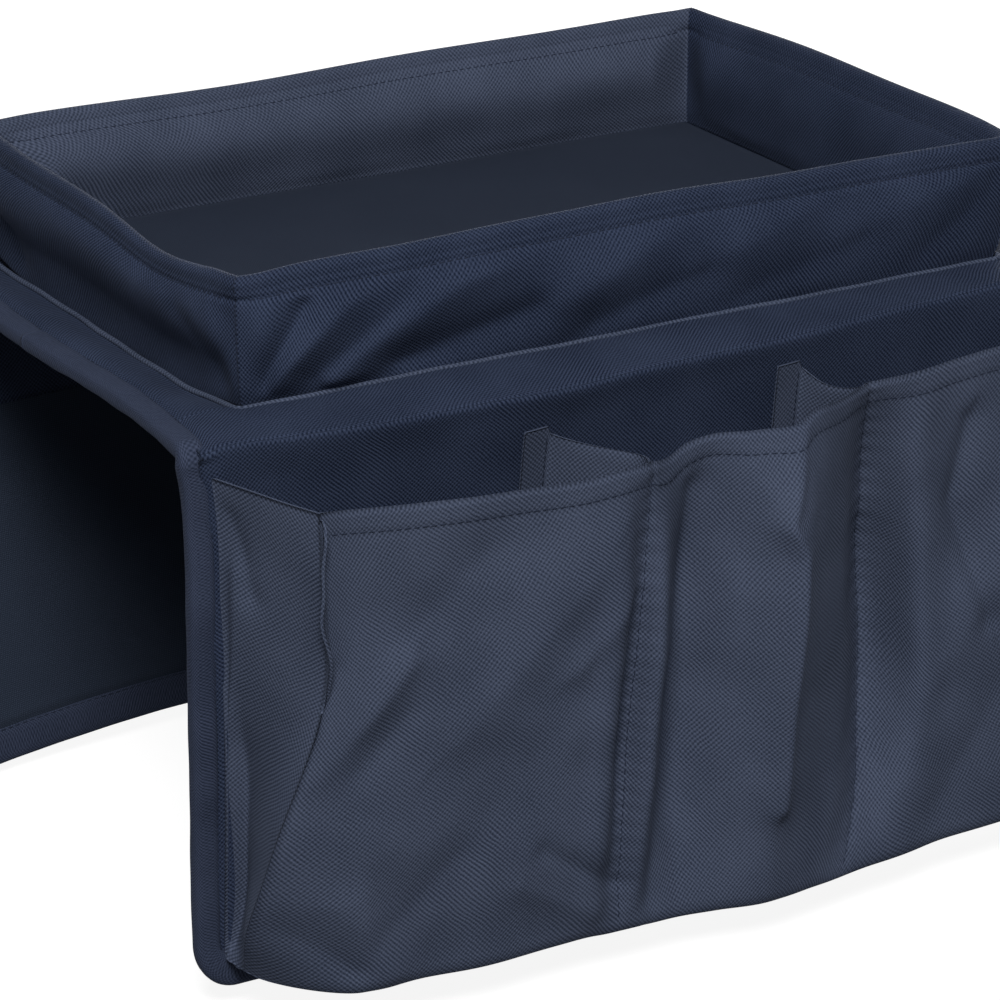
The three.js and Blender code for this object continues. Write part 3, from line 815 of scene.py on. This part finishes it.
SEAM_TIMES = (0.0, 0.3, 0.63, 0.85, 1.0)
SEAM_DRIFT = (0.0, 12.0, 18.0, 8.0, -7.0)
MOUTH_X = (-161.7, -134, -97, -65, -36, -24, -14, -5, 12, 26, 32, 48, 66, 90, 124, 161.7)
MOUTH_DROP = (10.5, 12.5, 15.3, 16.3, 15.9, 18.5, 15.4, 13.8, 13.2, 12.6, 10.2, 10.9, 10.8, 10.1, 8.6, 9.5)
FOOT_DOWN = (9, 21, 60, 93, 116, 138, 159, 181, 197)
FOOT_X = (183.6, 182.0, 179.8, 178.4, 177.6, 177.2, 177.0, 176.9, 176.8)
VALLEY_X = (183.6, 182.0, 178.0, 173.0, 170.0, 168.5, 168.5, 170.0, 173.0)
VALLEY_SHARE = 0.28
VALLEY_OUT = 4.6
GUSSET_TOP = 9.0
GUSSET_FOOT = 196.0
GUSSET_OUT = 3.2
BASE_OUT = 3.3
BASE_REACH = 1.9
DIVIDER_FOOT = 194.5
FLANGE_SHIFTS = (-11.0, -10.6, -7.0, -3.0, -1.0)
DIVIDERS = (
    ("left", SEAM_LEFT, -53.0, 16.8, 1.0, 2.0, (60, 180)),
    ("right", SEAM_RIGHT, 53.0, 12.0, 0.1, 4.0, (44, 182)),
)
PANEL_CREASES = (
    ([(-160, 70), (-163, 106)], -4.0, 3, 3.5),
    ([(-130, 70), (-151, 95), (-159, 108)], 2.6, 8, 6),
    ([(-130, 90), (-148, 110)], -1.0, 6),
    ([(-100, 36), (-130, 62)], -1.6, 12),
    ([(-58, 48), (-112, 104)], 1.8, 14, 10),
    ([(-64, 96), (-108, 150)], -1.4, 14),
    ([(-43, 60), (-66, 86)], 1.5, 7, 5),
    ([(-77, 154), (-45, 177)], -1.8, 3.5, 5),
    ([(-86, 166), (-56, 184)], 1.5, 6),
    ([(-148, 187), (-168, 158)], -3.0, 5),
    ([(-136, 190), (-152, 160)], 2.0, 8),
    ([(-110, 150), (-140, 178)], -1.4, 9),
    ([(-12, 34), (-13, 62), (-17, 104), (-23, 150), (-31, 186)], -2.4, 5, 6),
    ([(-4, 60), (-14, 110), (-18, 160)], 1.2, 10),
    ([(4, 10), (16, 48)], 1.8, 5),
    ([(-5, 22), (6, 60)], -1.4, 7),
    ([(28, 14), (17, 46), (23, 58), (19, 100), (18, 156)], 3.2, 5, 2.8),
    ([(92, 18), (78, 64)], 2.0, 9),
    ([(112, 34), (105, 64), (121, 112)], -3.4, 5, 8),
    ([(132, 82), (92, 136)], 2.0, 12),
    ([(142, 120), (96, 184)], -1.8, 11),
    ([(78, 120), (70, 176)], -1.2, 8),
)


def pocket_depth(x, t):
    """How far the pocket front stands out, from the rows of PANEL_OUT."""
    rows = np.stack([curve(PANEL_X, row, x[0]) for row in PANEL_OUT])
    return curve(PANEL_T, rows, t[:, 0])


def panel_points(side):
    """The pocket front: columns follow the row of pockets, rows go from the mouth to the floor."""
    seed = 71 if side == "front" else 83
    columns = spaced((-1, -0.84, 26), (-0.84, 0.84, 190), (0.84, 1, 26))
    x = (columns * ROW_HALF)[None, :]
    t = spaced((0, 0.06, 9), (0.06, 0.95, 96), (0.95, 1, 12))[:, None]
    mouth = curve(MOUTH_X, MOUTH_DROP, x)
    down = mouth + (POCKET_FLOOR - mouth) * t
    slant = x - 11.0 * t * np.maximum(1 - (x / ROW_HALF) ** 2, 0)
    slant = slant + bell(x, SEAM_RIGHT, 22) * curve(SEAM_TIMES, SEAM_DRIFT, t[:, 0])[:, None]
    out = pocket_depth(x, t)
    free = smooth(0, 24, down - mouth)
    out = out + sum(crease(slant, down, *fold) for fold in PANEL_CREASES) * (0.35 + 0.65 * free)
    out = out + ripple(slant, down, seed, 75, 0.7) + ripple(slant, down, seed + 1, 38, 0.25)
    for seam in (SEAM_LEFT, SEAM_RIGHT):
        near = np.abs(x - seam)
        gather = 0.35 * np.sin(2 * math.pi * down / GATHER_PITCH + 2 * np.sin(down / 19))
        gather = gather * np.exp(-near / 4.5)
        out = out + (gather - 1.0 * bell(near, 0, 1.3)) * smooth(1.0, 0.9, t)
    hem = down - mouth
    out = out + 0.5 * smooth(9.5, 8.0, hem) - 0.45 * bell(hem, 8.6, 0.9) - 1.2 * bell(hem, 0, 0.8)
    under = np.clip((t - 0.965) / 0.035, 0, 1)
    out = out - 4.0 * (1 - np.sqrt(1 - 0.96 * under**2))
    wrap = np.clip((ROW_HALF - np.abs(x)) / 20.0, 0, 1)
    round_it = np.sin(wrap * math.pi / 2) ** 0.6
    edge_out = curve(EDGE_TIMES, EDGE_OUT, t[:, 0])[:, None]
    edge_x = curve(EDGE_TIMES, EDGE_X, t[:, 0])[:, None]
    out = edge_out + (out - edge_out) * round_it
    slant = slant + np.sign(x) * (edge_x - ROW_HALF) * (1 - wrap) ** 2
    return grid(slant, out, down), x[0], t[:, 0]


def flap_pieces(side):
    """The cloths, pad and pockets of one flap; gives back its sewn lines."""
    body = f"{side}_flap"
    seed = 100 if side == "front" else 130
    lines = []

    def sheet(name, points, uv, node, cut, held, thick=CLOTH, trims=(), material=POCKET_TWILL, slot="twill"):
        piece = sheet_piece(f"{side}_{name}", hang(points, side), uv, material, thick)
        nodes = [f"{side}_{node}"] if node else []
        return place(piece, body, nodes, slot, cut, held, trims=trims)

    def sewn(points, ways):
        ways = np.broadcast_to(ways, points.shape)
        lines.append((hang(points, side), turned(hang_way(ways), TURN[side])))

    def flat_sheet(name, top, bottom, out, material, slot, rib, wave):
        down = np.linspace(top, bottom, 60)[:, None]
        x = np.linspace(-1, 1, 90) * (edge_middle(down) - TAPE_COVER)
        held = under_tape(x, down)
        depth = out + held + ripple(x, down, seed + int(top), 110, wave) * (1 - 0.6 * held)
        points = grid(x, depth, down)
        uv = grain(x, -down, rib)
        cloth, node, cut = f"flap_inner_{name}", f"flap_{name}", (370, bottom - top)
        sheet(cloth, points[:, ::-1], uv[:, ::-1], node, cut, "hung", material=material, slot=slot)
        return points

    inside = flat_sheet("facing", 7.5, FACING_END + 1.5, -FLAP_FACE - 0.3, BODY_TWILL, "twill", -45, 0.25)
    flat_sheet("lining", FACING_END - 3, CLOTH_FOOT, -FLAP_FACE, LINING, "lining", 0, 0.5)
    sewn(inside[-2, 3:-3], [0, -1.0, 0])

    # Pad between the cloths
    down = np.linspace(8.0, FLAP_HEIGHT - 5.0, 50)[:, None]
    x = np.linspace(-1, 1, 70) * (edge_middle(down) - 2.0)
    puff = 1.3 - 0.7 * under_tape(x, down) + 0.05 * ripple(x, down, seed + 3, 60, 1.0)
    front_face, back_face = (hang(grid(x, depth, down), side) for depth in (puff, -puff))
    pad = sheet_piece(f"{side}_flap_pad", front_face, grain(x, down, 0), FELT, back=back_face)
    place(pad, body, (f"{side}_flap_padding",), "padding", fill=0.2)

    # Pocket front
    points, columns, times = panel_points(side)
    down = points[..., 2]
    hem = down - down[:1]
    along = arc(points, 1)
    uv = grain(0.3 * along + 0.7 * along.mean(0), -down, -40)
    thick = 0.9 + 0.9 * smooth(9.0, 7.5, hem)
    sheet("pocket_front", points, uv, "pocket_panel", (362, 186), "gathered", thick)
    ways = facing(points)
    for seam in (SEAM_LEFT, SEAM_RIGHT):
        column = int(np.argmin(np.abs(columns - seam)))
        sewn(points[2:-6, column], ways[2:-6, column])
    row = int(np.argmin(np.abs(hem[:, len(columns) // 2] - 8.6)))
    sewn(points[row, 3:-3], ways[row, 3:-3])

    # Gussets
    for hand, name in ((-1, "left"), (1, "right")):
        edge = points[:, 0 if hand < 0 else -1] + np.array([hand * 0.15, -0.05, 0])
        foot_down = GUSSET_TOP + (GUSSET_FOOT - GUSSET_TOP) * times
        foot = grid(hand * curve(FOOT_DOWN, FOOT_X, foot_down), GUSSET_OUT, foot_down)
        valley = foot * (1 - VALLEY_SHARE) + edge * VALLEY_SHARE
        pressed = grid(hand * curve(FOOT_DOWN, VALLEY_X, foot_down), VALLEY_OUT, valley[:, 2])
        press = (smooth(46, 112, foot_down) * smooth(197, 189, foot_down))[:, None]
        valley = valley + (pressed - valley) * press
        share = np.linspace(0, 1, 44)[:, None]
        lying = foot[:, None] + (valley - foot)[:, None] * share / VALLEY_SHARE
        standing = valley[:, None] + (edge - valley)[:, None] * (share - VALLEY_SHARE) / (1 - VALLEY_SHARE)
        side_points = np.where(share < VALLEY_SHARE, lying, standing)
        for _ in range(5):
            side_points[:, 1:-1] += (side_points[:, :-2] - 2 * side_points[:, 1:-1] + side_points[:, 2:]) / 4
        v = share[..., 0]
        fall = foot_down[:, None]
        groove = 0.8 * bell(v, 0.07, 0.06) * smooth(14, 40, fall)
        patch = 2.4 * crease(v * 40, fall, [(7, 44), (8, 84), (5, 104)], 1.0, 6)
        tuck = 2.4 * crease(v * 40, fall, [(4, 22), (12, 50)], 1.0, 4)
        slack = ripple(v * 40, fall, seed + 20, 45, 0.5)
        side_points[..., 0] -= hand * (groove + (tuck - patch - slack) * np.sin(math.pi * v) ** 0.7)
        uv = grain(arc(side_points, 1), -fall, -40 * hand)
        if hand > 0:
            side_points, uv = side_points[:, ::-1], uv[:, ::-1]
        # The seam allowance stands out along the upper corner
        rows = np.linspace(0.012, 0.4, 40)
        root = sampled(rows, times, edge)
        width = 4.2 * (1 - smooth(0.28, 0.4, rows)) * smooth(0.0, 0.05, rows)
        wave = 1.6 * np.sin(rows * 22 + 0.6) + 0.7 * np.sin(rows * 51)
        share = np.linspace(-0.4, 1, 6)[:, None]
        fin = root[:, None] + share * width[:, None, None] * np.array([hand * 0.45, 0.89, 0])
        fin = fin + (share * wave[:, None, None]) * np.array([hand * -0.78, 0.62, 0]) * 0.6
        if hand > 0:
            fin = fin[:, ::-1]
        fin_uv = grain(fin[..., 1], -fin[..., 2], -40)
        lip = sheet(f"pocket_{name}_corner", fin, fin_uv, None, None, None, 1.2)
        node = f"pocket_{name}_gusset"
        sheet(f"pocket_{name}_side", side_points, uv, node, (38, 187), "gathered", trims=[lip])

    # Dividers, each with a flange sewn flat to the flap
    for name, seam, foot_x, top, looseness, crest, cut in DIVIDERS:
        column = int(np.argmin(np.abs(columns - seam)))
        front = points[:, column] - ways[:, column] * 1.1
        rows = np.concatenate([[0, 0.003], np.linspace(0.015, 1, 58)])
        front = sampled(rows, times, front)
        front[:, 2] = np.clip(front[:, 2] + 0.8 * (1 - rows), None, DIVIDER_FOOT)
        low = top + (DIVIDER_FOOT - top) * rows
        bulge = FOLD_BULGE * fold_share(foot_x if side == "front" else -foot_x)
        back = grid(foot_x, 4.5 + bulge * np.exp(-np.maximum(low - 7.0, 0) / BULGE_FADE), low)
        share = np.linspace(0, 1, 26)[:, None]
        wall = back[:, None] * (1 - share) + front[:, None] * share
        v = share[..., 0]
        slack = ripple(v * 45, rows[:, None] * 180, seed + 30, 60, 0.8)
        sway = 9.0 * (1 - 0.7 * rows[:, None]) * looseness
        wall[..., 0] += sway * np.sin(math.pi * v**1.4) + slack * np.sin(math.pi * v)
        wall[..., 2] += crest * (1 - rows[:, None]) ** 3 * np.sin(math.pi * v)
        lift = 3.0 * (1 - rows)[:, None] * np.array([0, 0, -1.0])
        flange = [back + lift + np.array([shift, -0.12 * shift, 0]) for shift in FLANGE_SHIFTS]
        cloth = np.concatenate([np.stack(flange, 1), wall], 1)
        cloth_uv = grain(arc(cloth, 1), -cloth[..., 2], -42)
        sheet(f"pocket_{name}_wall", cloth, cloth_uv, f"pocket_divider_{name}", cut, "hung")
        sewn(back + np.array([-1.6, 0.5, 0]), [0, 1.0, 0])

    # Pocket floor, which reaches the feet of the gussets at its ends
    lip = points[-1]
    share = np.linspace(0, 1, 16)[:, None, None]
    v = share[..., 0]
    lip_x = lip[:, 0]
    rear_x = lip_x + np.sign(lip_x) * BASE_REACH * smooth(150.0, EDGE_X[-1], np.abs(lip_x))
    base = lip * (1 - share) + grid(rear_x, BASE_OUT, GUSSET_FOOT) * share
    slack = 1 + ripple(lip_x, 40 * v, seed + 40, 60, 0.4)
    base[..., 2] += -0.8 + 1.2 * np.sin(math.pi * v) * slack
    base_uv = grain(arc(base, 1), arc(base, 0), 45)
    sheet("pocket_base", base, base_uv, "pocket_bottom", (350, 48), "gathered")
    return lines


for flap_side in ("front", "rear"):
    sewn_lines = fold_cloths(flap_side) + flap_pieces(flap_side)
    tape_lines, end_lines = edge_tape(flap_side)
    thread = rows_of_stitches(f"{flap_side}_flap_stitches", sewn_lines + tape_lines)
    place(thread, f"{flap_side}_flap")
    stitch_lines += end_lines
place(rows_of_stitches("tray_stitches", stitch_lines), "tray")

for board in [o for o in bpy.data.objects if o.type == "MESH" and o.name == "tray_floor_board"]:
    board.data.materials.clear()
    board.data.materials.append(CARDBOARD)


# Studio: a pale floor, soft lamps and the photograph's camera, in metres

FLOOR_HALF = 6
FLOOR_GAP = 0.01
FLOOR_GREY = (0.22, 0.22, 0.22, 1.0)
FLOOR_GLOW = 0.9
AIR_LIGHT = 0.07
LAMPS = (("key_lamp", (-0.828, -1.428, 1.5), 0.7, 62.0), ("rear_lamp", (0.85, 1.35, 0.2), 1.0, 20.0))
LAMP_TARGET = (0, 0, -0.06)
CAMERA_AZIMUTH = math.radians(-30.6)
CAMERA_ELEVATION = math.radians(21.46)
CAMERA_TARGET = (-0.01313, -0.03206, -0.08161)
CAMERA_DISTANCE = 1.67341
CAMERA_LENS = 159.92


def stand(name, data, spot, away, right):
    """Puts a lamp or a camera at a spot, with its back to the way called away."""
    holder = bpy.data.objects.new(name, data)
    axes = np.stack([right, np.cross(away, right), away, spot], -1)
    holder.matrix_world = Matrix(axes.tolist() + [[0, 0, 0, 1]])
    bpy.context.scene.collection.objects.link(holder)
    return holder


def studio():
    scene = bpy.context.scene
    scene.view_settings.view_transform = "Standard"
    mesh = bpy.data.meshes.new("studio_floor")
    reach = (-FLOOR_HALF, FLOOR_HALF)
    mesh.from_pydata([(x, y, 0) for x in reach for y in reach], [], [(0, 2, 3, 1)])
    ground = bpy.data.objects.new("studio_floor", mesh)
    ground.location.z = cad_box[0][2] - FLOOR_GAP
    scene.collection.objects.link(ground)
    nodes = Nodes("studio_floor_paint")
    diffuse = nodes.add("ShaderNodeBsdfDiffuse", {"Color": FLOOR_GREY})
    glow = nodes.add("ShaderNodeEmission", {"Strength": nodes.math("MULTIPLY", nodes.seen(), FLOOR_GLOW)})
    both = nodes.add("ShaderNodeAddShader", {0: diffuse.outputs[0], 1: glow.outputs[0]})
    nodes.add("ShaderNodeOutputMaterial", {"Surface": both.outputs[0]})
    mesh.materials.append(nodes.material)

    scene.world = bpy.data.worlds.new("studio_air")
    nodes = Nodes("studio_air", scene.world)
    strength = nodes.spread(nodes.seen(), AIR_LIGHT, 1.0)
    air = nodes.add("ShaderNodeBackground", {"Color": (1.0, 1.0, 1.0, 1.0), "Strength": strength})
    nodes.add("ShaderNodeOutputWorld", {"Surface": air.outputs[0]})

    for name, spot, size, power in LAMPS:
        lamp = bpy.data.lights.new(name, "AREA")
        lamp.size = size
        lamp.energy = power
        away = unit(np.array(spot) - np.array(LAMP_TARGET))
        stand(name, lamp, spot, away, unit(np.cross([0, 0, 1.0], away)))

    level = math.cos(CAMERA_ELEVATION)
    right = np.array([math.cos(CAMERA_AZIMUTH), math.sin(CAMERA_AZIMUTH), 0])
    away = np.array([right[1] * level, -right[0] * level, math.sin(CAMERA_ELEVATION)])
    camera = bpy.data.cameras.new("photo_camera")
    camera.sensor_width = 36.0
    camera.lens = CAMERA_LENS
    camera.clip_end = 20.0
    spot = np.array(CAMERA_TARGET) + away * CAMERA_DISTANCE
    scene.camera = stand("photo_camera", camera, spot, away, right)


studio()
